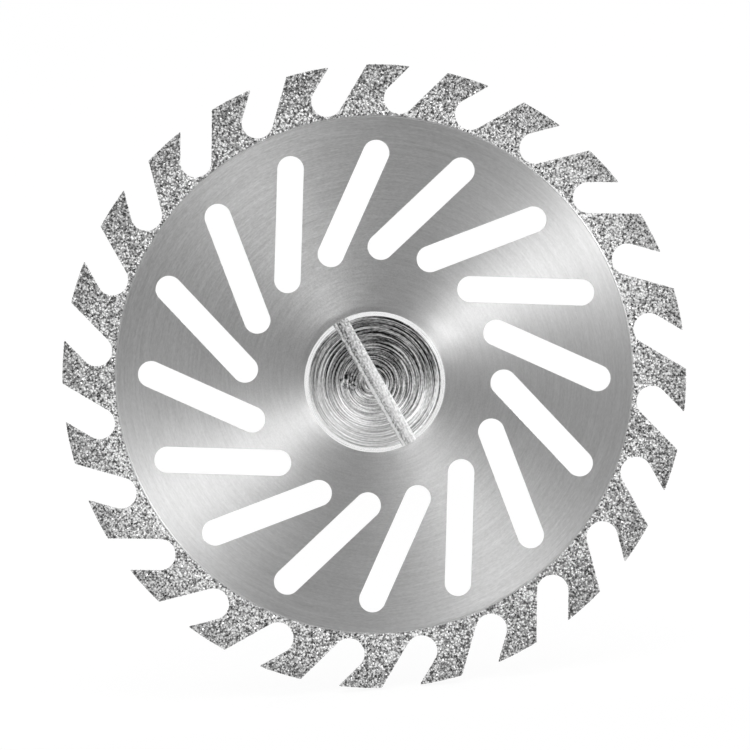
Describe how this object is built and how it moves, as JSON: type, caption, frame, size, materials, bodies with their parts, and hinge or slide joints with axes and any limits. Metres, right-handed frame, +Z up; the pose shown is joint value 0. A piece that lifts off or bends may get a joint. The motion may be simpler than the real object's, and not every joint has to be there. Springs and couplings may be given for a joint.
{
  "type": "double-sided diamond disc on mandrel",
  "caption": "Thin toothed steel disc with a diamond-coated rim and slanting cooling slots, clamped by a slotted screw to a straight-shank mandrel.",
  "frame": {"origin": "on the ground under the middle of the tool's whole length, as it lies at rest on two tooth corners and the end of its shank", "axes": "+Y runs from the disc towards the shank's end, along the ground; +Z is up; the disc's front, with the screw head, faces -Y and leans back"},
  "size_m": [0.022, 0.045, 0.0215],
  "materials": {
    "disc_steel": "satin",
    "diamond_grit": "matte",
    "screw_steel": "satin",
    "mandrel_steel": "satin"
  },
  "bodies": {
    "root": {"disc_blank": "disc_steel", "diamond_coat": "diamond_grit", "clamp_screw": "screw_steel", "mandrel": "mandrel_steel"}
  },
  "joints": []
}
